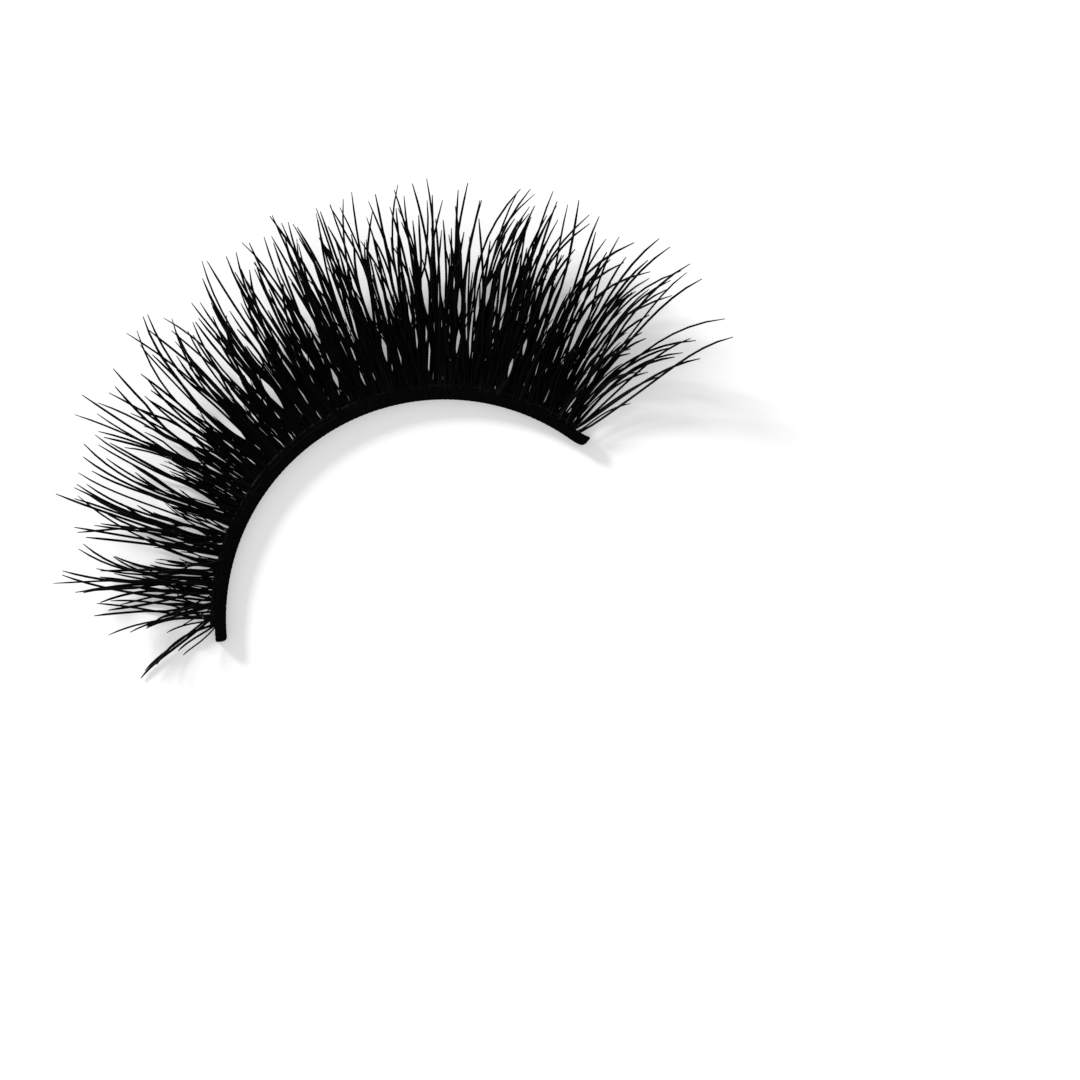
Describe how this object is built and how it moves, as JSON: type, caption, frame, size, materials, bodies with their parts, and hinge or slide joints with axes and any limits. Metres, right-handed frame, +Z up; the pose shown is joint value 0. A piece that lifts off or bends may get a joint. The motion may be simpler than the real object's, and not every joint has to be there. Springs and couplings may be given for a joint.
{
  "type": "false eyelash strip",
  "caption": "False eyelash strip: an arched cotton band with layered, curled lash locks fanned out along its outer edge, lying band down.",
  "frame": {"origin": "middle of the band's flat underside, on the band's centreline", "axes": "+Z up, the way the lashes curl; lashes fan out towards -Y; +X towards the inner corner of the eye, -X towards the outer corner"},
  "size_m": [0.0441, 0.0216, 0.0056],
  "materials": {
    "cotton_band": "matt black cotton with a thin dressing of clear glue",
    "lash_fibre": "deep black fine fibre with a faint soft sheen"
  },
  "bodies": {
    "root": {"band": "cotton_band", "lash_row_lower": "lash_fibre", "lash_row_middle": "lash_fibre", "lash_row_upper": "lash_fibre"}
  },
  "joints": []
}
